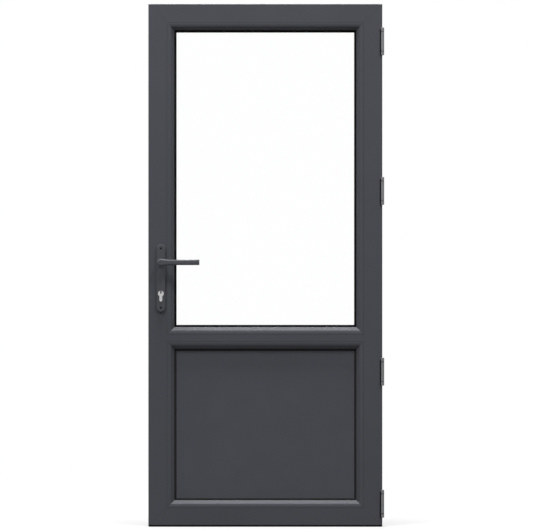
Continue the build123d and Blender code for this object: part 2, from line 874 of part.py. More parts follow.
follower_half = case_thickness / 2 - case_wall - slide_fit
with BuildPart() as follower:
    with BuildSketch(upright(lock_y - case_thickness / 2)):
        with Locations((handle_x, handle_height)):
            Circle(journal_radius)
    extrude(amount=-case_thickness)
    with BuildSketch(upright(lock_y - follower_half)):
        with Locations((handle_x, handle_height)):
            Circle(follower_radius)
    extrude(amount=-2 * follower_half)
    with BuildSketch(upright(lock_y - arm_thickness / 2)):
        block(
            handle_x - arm_width / 2, handle_x + arm_width / 2, handle_height, handle_height + arm_radius
        )
    extrude(amount=-arm_thickness)
    with BuildSketch(upright(lock_y - case_thickness)):
        with Locations((handle_x, handle_height)):
            Rectangle(spindle_size + 2 * spindle_fit, spindle_size + 2 * spindle_fit)
    extrude(amount=-2 * case_thickness, mode=Mode.SUBTRACT)
save(follower, "lock_follower")

# Cylinder
cylinder_front = face_y - plate_thickness - cylinder_proud
cylinder_length = leaf_depth + 2 * plate_thickness + 2 * cylinder_proud
cam_half = cam_width / 2 + cam_gap
with BuildPart() as cylinder_body:
    with BuildSketch(upright(cylinder_front)):
        keyhole()
        with Locations((handle_x, cylinder_z)):
            Circle(plug_radius + plug_fit, mode=Mode.SUBTRACT)
    extrude(amount=-cylinder_length)
    with BuildSketch(upright(lock_y - cam_half)):
        with Locations((handle_x, cylinder_z)):
            Circle(cam_radius + cam_gap)
    extrude(amount=-2 * cam_half, mode=Mode.SUBTRACT)
    with Locations(Plane((handle_x, lock_y, cylinder_screw_z), z_dir=-right_way)):
        Hole(screw_radius + screw_fit, case_depth)
save(cylinder_body, "cylinder_body")

with BuildPart() as cylinder_plug:
    with BuildSketch(upright(cylinder_front)):
        with Locations((handle_x, cylinder_z)):
            Circle(plug_radius)
    extrude(amount=-cylinder_length)
    with BuildSketch(upright(lock_y - cam_width / 2)):
        with Locations((handle_x, cylinder_z)):
            Circle(cylinder_head_radius)
        block(
            handle_x - cam_nose_width / 2,
            handle_x + cam_nose_width / 2,
            cylinder_z - math.sqrt(cam_radius**2 - cam_nose_width**2 / 4),
            cylinder_z,
        )
    extrude(amount=-cam_width)
    for y, way in ((cylinder_front, 1), (cylinder_front + cylinder_length, -1)):
        with BuildSketch(upright(y - way * overrun)):
            with Locations((handle_x, cylinder_z + plug_radius - keyway_height / 2)):
                Rectangle(keyway_width, keyway_height)
        extrude(amount=-way * (keyway_depth + overrun), mode=Mode.SUBTRACT)
save(cylinder_plug, "cylinder_plug")

# Handle plates, levers and spindle
with BuildPart() as front_plate:
    with BuildSketch(upright(face_y)):
        with Locations((handle_x, plate_z)):
            SlotOverall(plate_length, plate_width, rotation=90)
    extrude(amount=plate_thickness)
    fillet(front_plate.faces().sort_by(Axis.Y)[0].edges(), plate_edge)
    add(handle_holes.part, mode=Mode.SUBTRACT)
    with BuildSketch(upright(face_y - plate_thickness - overrun)):
        with Locations(*((handle_x, z) for z in plate_screw_heights)):
            Circle(head_hole)
    extrude(amount=-(overrun + plate_thickness / 2), mode=Mode.SUBTRACT)
save(front_plate, "front_handle_plate")

with BuildPart() as back_plate:
    with BuildSketch(upright(back_y)):
        with Locations((handle_x, plate_z)):
            SlotOverall(plate_length, plate_width, rotation=90)
    extrude(amount=-plate_thickness)
    fillet(back_plate.faces().sort_by(Axis.Y)[-1].edges(), plate_edge)
    with BuildSketch(upright(back_y - overrun)):
        with Locations((handle_x, handle_height)):
            Circle(neck_radius + neck_fit)
        keyhole(cylinder_fit)
    extrude(amount=-(plate_thickness + 2 * overrun), mode=Mode.SUBTRACT)
    with BuildSketch(upright(back_y - overrun)):
        with Locations(*((handle_x, z) for z in plate_screw_heights)):
            Circle(screw_radius + screw_fit)
    extrude(amount=-(plate_thickness / 2 + overrun), mode=Mode.SUBTRACT)
save(back_plate, "back_handle_plate")

head_depth = plate_thickness / 2 - screw_head_sink
with BuildPart() as handle_screws:
    with BuildSketch(upright(face_y - plate_thickness / 2)):
        with Locations(*((handle_x, z) for z in plate_screw_heights)):
            Circle(screw_head_radius)
    extrude(amount=head_depth)
    with BuildSketch(upright(face_y - plate_thickness / 2)):
        with Locations(*((handle_x, z) for z in plate_screw_heights)):
            Circle(screw_radius)
    extrude(amount=-(leaf_depth + plate_thickness - screw_fit))
    with BuildSketch(upright(face_y - plate_thickness / 2 - head_depth)):
        with Locations(*((handle_x, z) for z in plate_screw_heights)):
            RegularPolygon(screw_radius, 6)
    extrude(amount=-head_depth * socket_share, mode=Mode.SUBTRACT)
save(handle_screws, "handle_screws")

lever_front = face_y - lever_stand - lever_thickness / 2
neck_end = face_y - plate_thickness + neck_seat
with BuildPart() as front_lever:
    with BuildSketch(upright(lever_front + lever_thickness)):
        with Locations((handle_x, handle_height)):
            Circle(lever_hub_radius)
        block(
            handle_x + lever_blend,
            handle_x + lever_blend + lever_blend_strip,
            handle_height - lever_height / 2,
            handle_height + lever_height / 2,
        )
        make_hull()
        block(
            handle_x + lever_blend,
            handle_x + lever_length,
            handle_height - lever_height / 2,
            handle_height + lever_height / 2,
        )
    extrude(amount=lever_thickness)
    fillet(front_lever.faces().sort_by(Axis.Y)[0].edges(), lever_edge)
    fillet(front_lever.faces().sort_by(Axis.Y)[-1].edges(), lever_edge)
    with BuildSketch(upright(lever_front + lever_thickness)):
        with Locations((handle_x, handle_height)):
            Circle(neck_radius)
    extrude(amount=lever_front + lever_thickness - neck_end)
    with BuildSketch(upright(neck_end)):
        with Locations((handle_x, handle_height)):
            Rectangle(spindle_size + 2 * spindle_fit, spindle_size + 2 * spindle_fit)
    extrude(amount=neck_end - lever_front - lever_thickness, mode=Mode.SUBTRACT)
save(front_lever, "front_lever")

with BuildPart() as back_lever:
    mirror(front_lever.part, about=Plane.XZ.offset(-mid_y))
save(back_lever, "back_lever")

spindle_front = lever_front + lever_thickness + spindle_end_gap
with BuildPart() as spindle:
    with BuildSketch(upright(spindle_front)):
        with Locations((handle_x, handle_height)):
            Rectangle(spindle_size, spindle_size)
    extrude(amount=-2 * (mid_y - spindle_front))
save(spindle, "handle_spindle")

# Hinges: straps, pins and caps on the frame, plates and bushes on the leaf
hinge_point = (hinge_x, hinge_y)
strap_inner = leaf_box[1] + strap_clearance
strap_outer = strap_inner + hinge_plate
strap_front = face_y + flange_depth + strap_back_gap
hinge_half = leaf_knuckle / 2 + knuckle_gap + frame_knuckle
hinge_names = ("top", "upper", "lower", "bottom")
for name, z in zip(hinge_names, hinge_heights):
    with BuildPart() as strap:
        with BuildSketch(Plane.XY.offset(z - hinge_half)):
            block(frame_edge, frame_edge + hinge_plate, strap_front, strap_front + strap_depth)
            block(frame_edge, strap_outer, strap_front, strap_front + hinge_plate)
        extrude(amount=2 * hinge_half)
        for way in (1, -1):
            with BuildSketch(Plane.XY.offset(z + way * knuckle_offset - frame_knuckle / 2)):
                with Locations(hinge_point):
                    Circle(knuckle_radius)
                block(strap_inner, strap_outer, hinge_y, strap_front + hinge_plate)
                with Locations(hinge_point):
                    Circle(pin_radius + press_fit, mode=Mode.SUBTRACT)
            extrude(amount=frame_knuckle)
    save(strap, f"{name}_hinge_strap")
    with BuildPart() as leaf_plate:
        with BuildSketch(Plane.XY.offset(z - leaf_knuckle / 2)):
            with Locations(hinge_point):
                Circle(knuckle_radius)
            block(leaf_box[1], leaf_box[1] + hinge_plate, hinge_y, plate_back)
            with Locations(hinge_point):
                Circle(pin_radius + pin_fit + bush_wall + press_fit, mode=Mode.SUBTRACT)
        extrude(amount=leaf_knuckle)
        for step in (1, 0, -1):
            hole_z = z + step * hinge_screw_spacing
            with Locations(Plane((leaf_box[1] + hinge_plate, hinge_screw_y, hole_z), z_dir=right_way)):
                CounterSinkHole(
                    hinge_screw_radius + screw_fit, hinge_screw_head + screw_fit, hinge_plate + overrun
                )
    save(leaf_plate, f"{name}_hinge_leaf_plate")

hinge_screw = countersunk_screw(hinge_screw_length, hinge_screw_radius, hinge_screw_head)
with BuildPart() as hinge_screws:
    with Locations(
        *(
            Plane((leaf_box[1] + hinge_plate, y, z), z_dir=right_way)
            for y, z in hinge_screw_places
        )
    ):
        add(hinge_screw)
save(hinge_screws, "leaf_hinge_screws")

pin_half = hinge_half + cap_socket
with BuildPart() as hinge_pins:
    for z in hinge_heights:
        with BuildSketch(Plane.XY.offset(z - pin_half)):
            with Locations(hinge_point):
                Circle(pin_radius)
        extrude(amount=2 * pin_half)
save(hinge_pins, "hinge_pins")

with BuildPart() as hinge_caps:
    for z in hinge_heights:
        for way in (1, -1):
            with BuildSketch(Plane.XY.offset(z + way * hinge_half)):
                with Locations(hinge_point):
                    Circle(knuckle_radius)
            extrude(amount=way * hinge_cap)
    for z in hinge_heights:
        for way in (1, -1):
            far_end = z + way * (hinge_half + hinge_cap)
            rim = hinge_caps.edges().filter_by_position(Axis.Z, far_end - cap_chamfer, far_end + cap_chamfer)
            chamfer(rim, cap_chamfer)
    for z in hinge_heights:
        with BuildSketch(Plane.XY.offset(z - pin_half - press_fit)):
            with Locations(hinge_point):
                Circle(pin_radius + press_fit)
        extrude(amount=2 * (pin_half + press_fit), mode=Mode.SUBTRACT)
save(hinge_caps, "hinge_caps")

with BuildPart() as hinge_bushes:
    for z in hinge_heights:
        with BuildSketch(Plane.XY.offset(z - leaf_knuckle / 2)):
            with Locations(hinge_point):
                Circle(pin_radius + pin_fit + bush_wall)
                Circle(pin_radius + pin_fit, mode=Mode.SUBTRACT)
        extrude(amount=leaf_knuckle)
save(hinge_bushes, "hinge_bushes")
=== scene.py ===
# %% [markdown]
# # A half-glazed service door
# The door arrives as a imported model: every stile, bead, pane, hinge and lock piece is already a
# solid in metres, and the solids that move together hang on one named body. This lesson dresses
# that model. It sets up a plain studio, writes one finish for each material of the real door, and
# adds the small things that are better made here than in the solid model.

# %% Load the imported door
import json
import math

import bpy
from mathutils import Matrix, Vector


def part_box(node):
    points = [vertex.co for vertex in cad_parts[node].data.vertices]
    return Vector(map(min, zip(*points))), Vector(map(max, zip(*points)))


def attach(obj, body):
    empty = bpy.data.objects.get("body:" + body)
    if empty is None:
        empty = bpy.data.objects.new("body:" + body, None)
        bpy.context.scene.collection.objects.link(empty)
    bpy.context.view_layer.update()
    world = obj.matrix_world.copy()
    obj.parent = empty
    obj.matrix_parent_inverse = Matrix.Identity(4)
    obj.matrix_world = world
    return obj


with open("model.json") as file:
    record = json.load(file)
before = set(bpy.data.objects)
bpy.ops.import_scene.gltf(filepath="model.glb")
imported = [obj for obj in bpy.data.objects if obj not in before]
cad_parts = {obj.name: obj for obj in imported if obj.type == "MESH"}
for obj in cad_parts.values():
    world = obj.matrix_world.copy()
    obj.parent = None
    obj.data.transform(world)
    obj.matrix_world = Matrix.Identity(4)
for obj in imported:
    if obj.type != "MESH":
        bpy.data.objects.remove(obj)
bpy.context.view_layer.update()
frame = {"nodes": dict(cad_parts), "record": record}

nodes = frame["nodes"]
slot_of_node = {part["node"]: part["material_slot"] for part in frame["record"]["subparts"]}

# %% [markdown]
# ## Camera
# The photograph looks straight at the door, and neither the beads at the sides nor the edges of the
# leaf show any perspective. A camera far away with a long lens gives that near-parallel view, and
# a real lens keeps working when the camera later walks round the door. The picture is as wide as
# the number of millimetres in a pixel says, so the lens follows from the distance.

# %% Camera
picture_width = 533
metres_per_pixel = 0.003825
picture_middle_x = 0.00446
picture_middle_z = 1.0016
camera_distance = 14.0
leaf_face_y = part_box("leaf_lock_stile")[0].y

camera_data = bpy.data.cameras.new("front_camera")
camera_data.sensor_width = 36.0
camera_data.lens = camera_data.sensor_width * camera_distance / (picture_width * metres_per_pixel)
camera_data.clip_start = 0.1
camera_data.clip_end = 200.0
camera = bpy.data.objects.new("front_camera", camera_data)
camera.location = (picture_middle_x, leaf_face_y - camera_distance, picture_middle_z)
camera.rotation_euler = (math.radians(90), 0, 0)
bpy.context.scene.collection.objects.link(camera)
bpy.context.scene.camera = camera
bpy.context.scene.view_settings.view_transform = "Standard"
print("lens:", round(camera_data.lens, 1), "mm")

# %% [markdown]
# ## Shader sums as Python
# A finish is mostly arithmetic: a grain times a strength, one minus a mask. Building each Math node
# by hand hides that, so a small class wraps a socket and lets `+`, `-`, `*`, `<` and `>` add the
# nodes. A comparison gives 1 or 0, so masks are joined by multiplying them. Every other node comes
# from the one method `add`, which sets a node's options before its sockets.

# %% Shader sums
class Flow:
    """A value that flows through one node tree; arithmetic on it adds Math nodes."""

    def __init__(self, tree, socket=None):
        self.tree = tree
        self.socket = socket

    def add(self, kind, out=0, inputs=None, **settings):
        """Add a node: its settings first, then its sockets from numbers, colours or other flows."""
        node = self.tree.nodes.new(kind)
        for name, value in settings.items():
            setattr(node, name, value)
        for key, value in (inputs or {}).items():
            if isinstance(value, Flow):
                self.tree.links.new(value.socket, node.inputs[key])
            else:
                node.inputs[key].default_value = value
        return Flow(self.tree, node.outputs[out] if len(node.outputs) else None)

    def math(self, operation, *values):
        return self.add("ShaderNodeMath", operation=operation, inputs=dict(enumerate(values)))

    def __add__(self, other):
        return self.math("ADD", self, other)

    def __sub__(self, other):
        return self.math("SUBTRACT", self, other)

    def __rsub__(self, other):
        return self.math("SUBTRACT", other, self)

    def __mul__(self, other):
        return self.math("MULTIPLY", self, other)

    def __abs__(self):
        return self.math("ABSOLUTE", self)

    def __lt__(self, other):
        return self.math("LESS_THAN", self, other)

    def __gt__(self, other):
        return self.math("GREATER_THAN", self, other)

    def larger(self, other):
        return self.math("MAXIMUM", self, other)

    def smaller(self, other):
        return self.math("MINIMUM", self, other)

    def between(self, low, high):
        return (self > low) * (self < high)

    __radd__ = __add__
    __rmul__ = __mul__


print("shader sums ready")

# %% [markdown]
# ## Floor
# The photograph has a plain white ground. The floor keeps a part of its ordinary shading near the
# door, so that the door's shadow still shows, and turns plain white further out. White comes from
# the Light Path node: rays from the camera, from reflections and through the glass see a pale floor
# mixed with white, while the light that falls on the door comes off a grey one.

# %% Floor
floor_reach = 40.0
floor_grey = (0.15, 0.15, 0.15, 1)
floor_pale = (0.58, 0.58, 0.58, 1)
white = (1, 1, 1, 1)
fade_start, fade_end = 0.8, 3.0
least_white = 0.55


def seen_ray(flow):
    """1 for rays that look at the ground: from the camera, off a gloss or through glass."""
    camera_ray = flow.add("ShaderNodeLightPath", out="Is Camera Ray")
    glossy_ray = flow.add("ShaderNodeLightPath", out="Is Glossy Ray")
    through_ray = flow.add("ShaderNodeLightPath", out="Is Transmission Ray")
    return camera_ray.larger(glossy_ray).larger(through_ray)


floor_mesh = bpy.data.meshes.new("studio_floor")
floor_corners = [(-floor_reach, -floor_reach, 0), (floor_reach, -floor_reach, 0)]
floor_corners += [(floor_reach, floor_reach, 0), (-floor_reach, floor_reach, 0)]
floor_mesh.from_pydata(floor_corners, [], [(0, 1, 2, 3)])
floor = bpy.data.objects.new("studio_floor", floor_mesh)
bpy.context.scene.collection.objects.link(floor)

floor_material = bpy.data.materials.new("studio_floor")
floor_material.use_nodes = True
floor_material.node_tree.nodes.clear()
flow = Flow(floor_material.node_tree)
place = flow.add("ShaderNodeTexCoord", out="Object")
distance = flow.add("ShaderNodeVectorMath", out="Value", operation="LENGTH", inputs={0: place})
fade = {0: distance, 1: fade_start, 2: fade_end, 3: least_white, 4: 1.0}
far_off = flow.add("ShaderNodeMapRange", inputs=fade)
seen = seen_ray(flow)
two_greys = {0: seen, 6: floor_grey, 7: floor_pale}
ground = flow.add("ShaderNodeMix", out=2, data_type="RGBA", inputs=two_greys)
shaded = flow.add("ShaderNodeBsdfDiffuse", inputs={"Color": ground})
plain = flow.add("ShaderNodeEmission", inputs={"Color": white, "Strength": 1.0})
mixed = flow.add("ShaderNodeMixShader", inputs={0: far_off * seen, 1: shaded, 2: plain})
flow.add("ShaderNodeOutputMaterial", inputs={"Surface": mixed})
floor_mesh.materials.append(floor_material)
print("floor:", 2 * floor_reach, "m across")

# %% [markdown]
# ## Backdrop
# The world does the same: it is white to look at, and lights the door with a share of that.

# %% World
ambient = 0.27
world = bpy.data.worlds.new("studio")
world.use_nodes = True
world.node_tree.nodes.clear()
flow = Flow(world.node_tree)
strength = seen_ray(flow) * (1.0 - ambient) + ambient
sky = flow.add("ShaderNodeBackground", inputs={"Color": white, "Strength": strength})
flow.add("ShaderNodeOutputWorld", inputs={"Surface": sky})
bpy.context.scene.world = world
print("ambient:", ambient)

# %% [markdown]
# ## Light
# In the photograph the beads that face up give over three times the light of the flat members, and
# those that face down are darker, so most of the light hangs overhead. The upright beads at the left
# and at the right are nearly alike, so two weaker lights stand high in front, one at each side. The
# left one is a little stronger, because the handle's shadow falls to the right. Another lights the
# back of the door for the other views.

# %% Lights
door_middle = (0.0, 0.0, 1.0)
before_door = (0.0, -0.2, 1.0)


def soft_light(name, place, aim, size, power):
    """A wide area light at a place, turned to a point on the door."""
    data = bpy.data.lights.new(name, "AREA")
    data.shape = "RECTANGLE"
    data.size, data.size_y = size
    data.energy = power
    lamp = bpy.data.objects.new(name, data)
    lamp.location = place
    lamp.rotation_euler = (Vector(aim) - Vector(place)).to_track_quat("-Z", "Y").to_euler()
    bpy.context.scene.collection.objects.link(lamp)
    return lamp


lamps = [
    soft_light("overhead_light", (0.0, -1.25, 10.0), before_door, size=(3.0, 2.0), power=960),
    soft_light("left_light", (-3.5, -4.2, 7.0), door_middle, size=(1.8, 1.8), power=290),
    soft_light("right_light", (3.5, -4.2, 7.0), door_middle, size=(1.8, 1.8), power=210),
    soft_light("back_light", (-0.6, 4.5, 5.5), door_middle, size=(2.4, 2.4), power=300),
]
print("lights:", [lamp.name for lamp in lamps])

# %% [markdown]
# ## Helpers for finishes
# Each finish is one material named after its slot in the record. Its patterns are measured in metres
# of the door itself, because every piece sits at the origin and Object coordinates are then the
# door's own. Fine grain is a Noise texture of about a millimetre, and the broad unevenness that any
# coating has is a second one of a hand's breadth.

# %% Finish helpers
made_finishes = {}


def new_finish(slot, **constants):
    """A material with a Principled shader; sockets that stay the same all over are set on it here."""
    material = bpy.data.materials.new(slot)
    material.use_nodes = True
    shader = material.node_tree.nodes["Principled BSDF"]
    for name, value in constants.items():
        shader.inputs[name.replace("_", " ").title().replace("Ior", "IOR")].default_value = value
    made_finishes[slot] = material
    return Flow(material.node_tree), shader


def feed(shader, name, value):
    """Link a flow that changes over the surface to one socket of the shader."""
    value.tree.links.new(value.socket, shader.inputs[name])


def here(flow):
    """Where the shaded point is, in the door's own metres."""
    return flow.add("ShaderNodeTexCoord", out="Object")


def axes(flow):
    """The shaded point's X, Y and Z."""
    split = flow.tree.nodes.new("ShaderNodeSeparateXYZ")
    flow.tree.links.new(here(flow).socket, split.inputs[0])
    return [Flow(flow.tree, output) for output in split.outputs]


def noise(flow, size, detail=2.0, stretch=(1, 1, 1)):
    """Unevenness from 0 to 1 in lumps of about `size` metres, drawn out along an axis if asked."""
    spread = flow.add("ShaderNodeMapping", inputs={"Vector": here(flow), "Scale": stretch})
    lumps = {"Vector": spread, "Scale": 1 / size, "Detail": detail}
    return flow.add("ShaderNodeTexNoise", inputs=lumps)


def tint(flow, amount, first, second):
    """A colour between two others: the first at an amount of 0, the second at 1."""
    return flow.add("ShaderNodeMix", out=2, data_type="RGBA", inputs={0: amount, 6: first, 7: second})


def bump(flow, height, depth, strength=1.0):
    """A normal bent by a height from 0 to 1, `depth` metres deep."""
    dent = {"Height": height, "Distance": depth, "Strength": strength}
    return flow.add("ShaderNodeBump", inputs=dent)


def grey(level, blue=1.0):
    """A neutral colour, slightly blue where asked."""
    return (level, level * (1 + (blue - 1) / 6), level * blue, 1.0)


print("finish helpers ready")

# %% [markdown]
# ## Mitre lines
# The leaf's members and beads meet in mitres, and each mitre shows as a hairline groove at 45
# degrees. The groove could be cut in the solids, but a tenth of a millimetre is better drawn: a
# point on the line has equal distances from the two edges that meet in the corner.

# %% Mitre lines
groove_width = 0.0004


def mitre_groove(flow, box, reach):
    """1 on the hairlines that run `reach` inwards from the corners of a box (left, right, low, high)."""
    x, _, z = axes(flow)
    left, right, low, high = box
    from_side = (x - left).smaller(right - x)
    from_end = (z - low).smaller(high - z)
    return (abs(from_side - from_end) < groove_width) * (from_side < reach)


def seam_box(left, right, low, high):
    """The rectangle that four nodes frame, from their boxes."""
    return (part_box(left)[0].x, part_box(right)[1].x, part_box(low)[0].z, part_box(high)[1].z)


leaf_edges = seam_box("leaf_lock_stile", "leaf_hinge_stile", "leaf_bottom_rail", "leaf_top_rail")
glass_seam = seam_box("glass_left_bead", "glass_right_bead", "glass_bottom_bead", "glass_top_bead")
panel_seam = seam_box("panel_left_bead", "panel_right_bead", "panel_bottom_bead", "panel_top_bead")
bead_low, bead_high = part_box("glass_left_bead")
member_width = bead_low.x - leaf_edges[0]
bead_width = bead_high.x - bead_low.x
print("member width:", round(member_width, 4), "bead width:", round(bead_width, 4))

# %% [markdown]
# ## Anthracite members and beads
# The members are extruded and coated in a satin anthracite with a very fine grain. Over that lie a
# broad unevenness and small flecks. Along the foot of the leaf, just above the rubber sweep, the
# photograph is black: the leaf's lower edge faces down into shade, and that shade is painted into the
# coat there as near-black.

# %% Anthracite
anthracite = 0.0685
grain_size, fleck_size, cloud_size = 0.0011, 0.004, 0.16
grain_depth = 0.00012
foot_shade_height = 0.0072


def coated(slot, mitres, roughness):
    """Satin anthracite with a fine grain, broad unevenness, dark mitre lines and painted shade at the foot.
    """
    flow, shader = new_finish(slot, specular_ior_level=0.12)
    grain = noise(flow, grain_size, 3.0)
    cloud = noise(flow, cloud_size)
    fleck = noise(flow, fleck_size)
    shade = cloud * 0.7 + fleck * 0.3
    colour = tint(flow, shade, grey(anthracite * 0.9, 1.2), grey(anthracite * 1.1, 1.18))
    height = grain * 0.25
    for box, reach in mitres:
        groove = mitre_groove(flow, box, reach)
        colour = tint(flow, groove, colour, grey(anthracite * 0.6, 1.1))
        height = height - groove
    _, _, z = axes(flow)
    # painted shade: the lowest few millimetres of the coat turn near-black, where the lower edge is in
    # shade
    colour = tint(flow, (z < foot_shade_height) * 0.9, colour, grey(0.004))
    feed(shader, "Base Color", colour)
    feed(shader, "Roughness", grain * 0.1 + cloud * 0.08 + (roughness - 0.09))
    feed(shader, "Normal", bump(flow, height, grain_depth))


coated("profile_grey", [(leaf_edges, member_width)], roughness=0.46)
coated("bead_grey", [(glass_seam, bead_width), (panel_seam, bead_width)], roughness=0.44)
coated("frame_paint", [(leaf_edges, member_width)], roughness=0.42)
print("coated:", sorted(made_finishes))

# %% [markdown]
# ## Panel, handle and hinge paint
# The infill panel has nearly the same colour on a smoother skin. The handle is cast and powder
# coated, which leaves a faint orange peel. The hinges are a lighter grey than the leaf. Where two
# knuckles of a barrel meet, a dark ring is painted on: partly oil and dust, partly the painted shade
# of the narrow gap between the knuckles.

# %% Panel, handle and hinges
hinges = ("top", "upper", "lower", "bottom")
ring_reach = 0.0014
coat_cloud_size = 0.09


def knuckle_grease_and_shade(flow):
    """1 on the hinge barrels close to where the leaf's knuckle meets the frame's: oil and dust, and painted
    shade of the gap.
    """
    _, y, z = axes(flow)
    joints = [corner.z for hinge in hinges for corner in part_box(hinge + "_hinge_leaf_plate")]
    return sum(abs(z - joint_z) < ring_reach for joint_z in joints) * (y < leaf_face_y)


def powder(slot, level, blue, peel, depth, roughness, soil_and_shade=None):
    """A powder coat: a plain colour over a soft orange peel, dark where a mask of soil and painted shade is
    given.
    """
    flow, shader = new_finish(slot, specular_ior_level=0.15)
    skin = noise(flow, peel)
    cloud = noise(flow, coat_cloud_size)
    colour = tint(flow, cloud, grey(level * 0.92, blue), grey(level * 1.08, blue))
    if soil_and_shade:
        # soil and painted shade darken the coat where the mask is 1
        colour = tint(flow, soil_and_shade(flow), colour, grey(level * 0.15))
    feed(shader, "Base Color", colour)
    feed(shader, "Roughness", skin * 0.12 + (roughness - 0.06))
    feed(shader, "Normal", bump(flow, skin, depth, 0.6))


powder("panel_skin", level=0.0695, blue=1.2, peel=0.0016, depth=0.00006, roughness=0.42)
powder("handle_paint", level=0.0715, blue=1.17, peel=0.0013, depth=0.00008, roughness=0.38)
powder("hinge_paint", level=0.215, blue=1.05, peel=0.0013, depth=0.00006, roughness=0.36,
       soil_and_shade=knuckle_grease_and_shade)
powder("dark_screw", level=0.016, blue=1.05, peel=0.0008, depth=0.00004, roughness=0.40)
print("finishes:", sorted(made_finishes))

# %% [markdown]
# ## Rubber and moulded plastic
# Gaskets and seals are extruded black rubber: matt, with a little bloom. Low down, round the panel,
# the photograph shows it greyer, so dust lies on it there. The bushes and the packers are dark
# moulded plastic.

# %% Rubber and plastic
patch_size = 0.03
mould_depth = 0.00008
box_slack = 0.001


def on_node(flow, node):
    """1 where the shaded point lies in a node's box, seen from the front."""
    low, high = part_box(node)
    x, _, z = axes(flow)
    beside = x.between(low.x - box_slack, high.x + box_slack)
    return beside * z.between(low.z - box_slack, high.z + box_slack)


def moulded(slot, level, bloom, gloss, roughness, texture, dusty_node=None):
    """A dark moulded or extruded material with a pale bloom in patches, dusty on one node."""
    flow, shader = new_finish(slot, specular_ior_level=gloss)
    patch = noise(flow, patch_size, 3.0)
    grain = noise(flow, texture)
    colour = tint(flow, patch * patch, grey(level), grey(level * bloom))
    if dusty_node:
        dust = on_node(flow, dusty_node) * (patch * 0.4 + 0.6)
        colour = tint(flow, dust, colour, grey(0.026))
    feed(shader, "Base Color", colour)
    feed(shader, "Roughness", grain * 0.15 + roughness)
    feed(shader, "Normal", bump(flow, grain, mould_depth, 0.5))


moulded("seal_rubber", level=0.003, bloom=1.8, gloss=0.04, roughness=0.58, texture=0.0009,
        dusty_node="panel_front_gasket")
moulded("bush_plastic", level=0.05, bloom=1.2, gloss=0.1, roughness=0.45, texture=0.0012)
print("finishes:", sorted(made_finishes))

# %% [markdown]
# ## Metals
# Zinc-plated steel is cloudy, and stainless plates, the spacer and the threshold are brushed along
# their length. Brushing is noise drawn out along one axis: its scale is small along the brush and
# large across it.

# %% Metals
metal_cloud_size = 0.05
fine_marks = 0.00003


def metal(slot, level, warmth, roughness, stretch, size, depth=fine_marks):
    """Bare metal whose roughness and height follow brush marks or crystals."""
    flow, shader = new_finish(slot, metallic=1.0)
    marks = noise(flow, size, 3.0, stretch)
    cloud = noise(flow, metal_cloud_size)
    dark, light = [(shade, shade, shade * warmth, 1) for shade in (level * 0.88, level * 1.1)]
    feed(shader, "Base Color", tint(flow, marks * 0.5 + cloud * 0.5, dark, light))
    feed(shader, "Roughness", marks * 0.16 + cloud * 0.08 + (roughness - 0.12))
    feed(shader, "Normal", bump(flow, marks, depth, 0.4))


along_x, along_z, both_ways = (0.03, 1, 1), (1, 1, 0.04), (0.05, 1, 0.05)
metal("plain_steel", level=0.52, warmth=1.02, roughness=0.45, stretch=(1, 1, 1), size=0.006)
metal("stainless", level=0.58, warmth=0.99, roughness=0.34, stretch=along_z, size=0.0009)
metal("threshold_metal", level=0.05, warmth=1.04, roughness=0.42, stretch=along_x, size=0.0010,
      depth=0.00004)
metal("spacer_metal", level=0.55, warmth=1.01, roughness=0.36, stretch=both_ways, size=0.0012)
print("finishes:", sorted(made_finishes))

# %% [markdown]
# ## Lock cylinder
# The cylinder is brass with a satin nickel plating. Its keyway is a deep narrow slot that looks
# nearly black, since little light finds its way in and the pins are greasy. A narrow slot between
# bright walls still glitters in a render, so shade is painted into the plating a hair's breadth inside
# it. In the photograph the dark notch is wider than the slot; that is a dark reflection, and it is
# painted round the slot's mouth.

# %% Lock cylinder
nickel = 0.5
slot_half_width = 0.0017
bright_rim = 0.003
hair = 0.0003
# size of the painted dark reflection round the keyway's mouth
mouth_reflection_half_width, mouth_reflection_half_height = 0.0040, 0.0048


def plated_cylinder(slot):
    """Satin nickel with painted shade inside the keyway of the plug and a painted dark reflection round its
    mouth.
    """
    flow, shader = new_finish(slot, metallic=1.0)
    plug_low, plug_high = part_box("cylinder_plug")
    body_low, body_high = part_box("cylinder_body")
    middle = (body_low.x + body_high.x) / 2
    width = body_high.x - body_low.x
    mouth_z = body_high.z - width / 5
    x, y, z = axes(flow)

    marks = noise(flow, 0.0008, 3.0, (1, 1, 0.1))
    plating = tint(flow, marks, grey(nickel * 0.9), grey(nickel * 1.08))
    aside = (x - middle) * (1 / mouth_reflection_half_width)
    above = (z - mouth_z) * (1 / mouth_reflection_half_height)
    # painted reflection: an oval of dark plating round the keyway's mouth
    painted_mouth_reflection = ((1.0 - aside * aside - above * above) * 2.0).larger(0.0).smaller(0.95)
    plating = tint(flow, painted_mouth_reflection, plating, grey(0.05))
    # painted shade: the plating turns near-black inside the keyway
    in_slot = (abs(x - middle) < slot_half_width) * z.between(body_high.z - width, body_high.z - bright_rim)
    painted_slot_shade = in_slot * y.between(plug_low.y + hair, plug_high.y - hair)
    feed(shader, "Base Color", tint(flow, painted_slot_shade, plating, grey(0.01)))
    feed(shader, "Roughness", marks * 0.16 + 0.3)
    feed(shader, "Normal", bump(flow, marks, 0.00002, 0.4))


plated_cylinder("cylinder_nickel")
print("finishes:", sorted(made_finishes))

# %% [markdown]
# ## Glass
# Two clear panes with a gap between them. Float glass is faintly green, most of all at its edges, so
# the colour is much stronger in the rim of the pane. A touch of unevenness in the roughness stands
# for the film that any pane has.

# %% Glass
clear_tint = (0.992, 0.997, 0.994, 1)
rim_tint = (0.55, 0.78, 0.70, 1)
rim_width = 0.0015
film_size = 0.25


